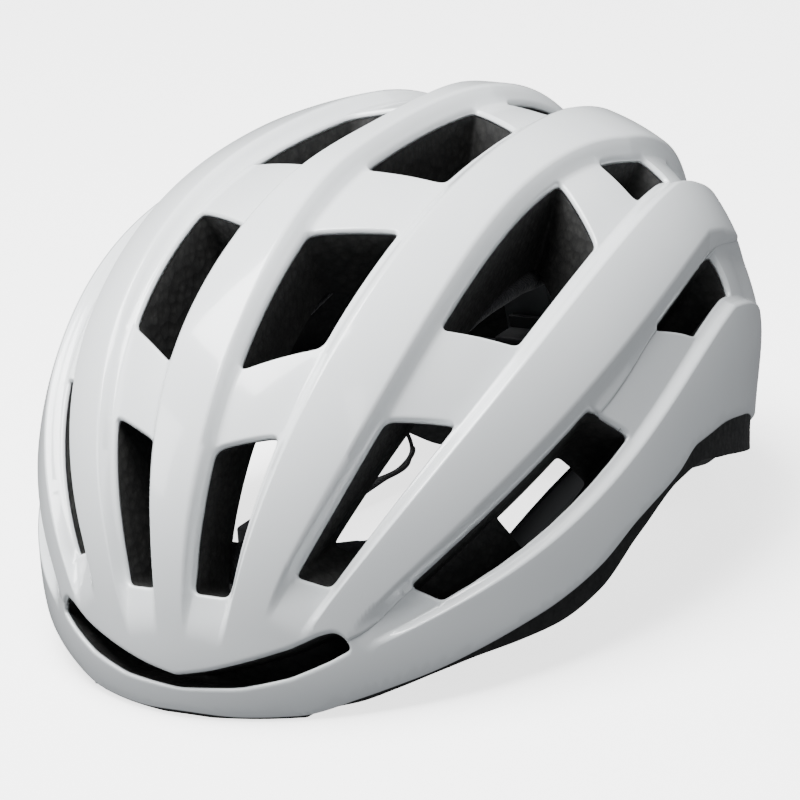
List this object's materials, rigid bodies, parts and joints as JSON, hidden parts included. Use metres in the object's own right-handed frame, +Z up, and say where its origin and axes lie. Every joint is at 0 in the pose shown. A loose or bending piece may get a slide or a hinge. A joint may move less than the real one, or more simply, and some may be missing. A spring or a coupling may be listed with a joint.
{
  "type": "road cycling helmet",
  "caption": "Road cycling helmet: glossy two-piece shell over a vented foam liner, with pads, rear dial fit system and chin-strap harness folded inside.",
  "frame": {"origin": "centre of the helmet's footprint, on the level of the rim it stands on", "axes": "+Z up through the crown, -Y to the brow, +X to the wearer's left"},
  "size_m": [0.2147, 0.2965, 0.1514],
  "materials": {
    "gloss_shell": "gloss white polycarbonate",
    "eps_foam": "black expanded foam beads",
    "pad_cloth": "soft knitted cloth over foam",
    "nylon": "satin moulded nylon",
    "grey_nylon": "satin grey nylon",
    "rubber": "matt moulded rubber",
    "webbing": "woven polyester webbing",
    "steel": "plated screw"
  },
  "bodies": {
    "helmet": {"crown_shell": "gloss_shell", "lower_shell": "gloss_shell", "eps_liner": "eps_foam", "brow_pad": "pad_cloth", "centre_pad": "pad_cloth", "crown_pad_left": "pad_cloth", "crown_pad_right": "pad_cloth", "side_pad_left": "pad_cloth", "side_pad_right": "pad_cloth", "temple_anchor_left": "nylon", "temple_anchor_right": "nylon", "height_rail": "grey_nylon", "strap_plug_front_left": "nylon", "strap_plug_front_right": "nylon", "strap_plug_rear_left": "nylon", "strap_plug_rear_right": "nylon", "strap_front_left": "webbing", "strap_front_right": "webbing", "strap_rear_left": "webbing", "strap_rear_right": "webbing", "chin_strap_left": "webbing", "chin_strap_right": "webbing", "strap_divider_left": "nylon", "strap_divider_right": "nylon", "buckle_socket": "nylon", "strap_keeper": "rubber"},
    "cradle": {"cradle_housing": "nylon", "cradle_cover": "nylon", "cradle_stem": "nylon", "occipital_pad_left": "pad_cloth", "occipital_pad_right": "pad_cloth"},
    "dial": {"fit_dial": "rubber", "dial_pinion": "grey_nylon", "dial_screw": "steel"},
    "belt_left": {"fit_belt_left": "nylon"},
    "belt_right": {"fit_belt_right": "nylon"},
    "prong": {"buckle_prong": "nylon"}
  },
  "joints": [
    {"name": "cradle_height", "type": "hinge", "parent": "helmet", "child": "cradle", "pos_m": [0, -0.062, 0.0235], "axis": [1, 0, 0], "range_deg": [0, 6]},
    {"name": "dial_turn", "type": "hinge", "parent": "cradle", "child": "dial", "pos_m": [0, 0.079, 0.036], "axis": [0, -1, 0], "range_deg": [0, 85]},
    {"name": "belt_left_slide", "type": "slide", "parent": "cradle", "child": "belt_left", "axis": [-1, 0, 0], "range_m": [0, 0.009]},
    {"name": "belt_right_slide", "type": "slide", "parent": "cradle", "child": "belt_right", "axis": [1, 0, 0], "range_m": [0, 0.009]},
    {"name": "buckle_release", "type": "slide", "parent": "helmet", "child": "prong", "axis": [-1, 0, 0], "range_m": [0, 0.022], "deforming": ["chin_strap_right"]}
  ],
  "couplings": [
    {"joint": "belt_left_slide", "follows": "dial_turn", "m_per_rad": 0.006},
    {"joint": "belt_right_slide", "follows": "dial_turn", "m_per_rad": 0.006}
  ]
}
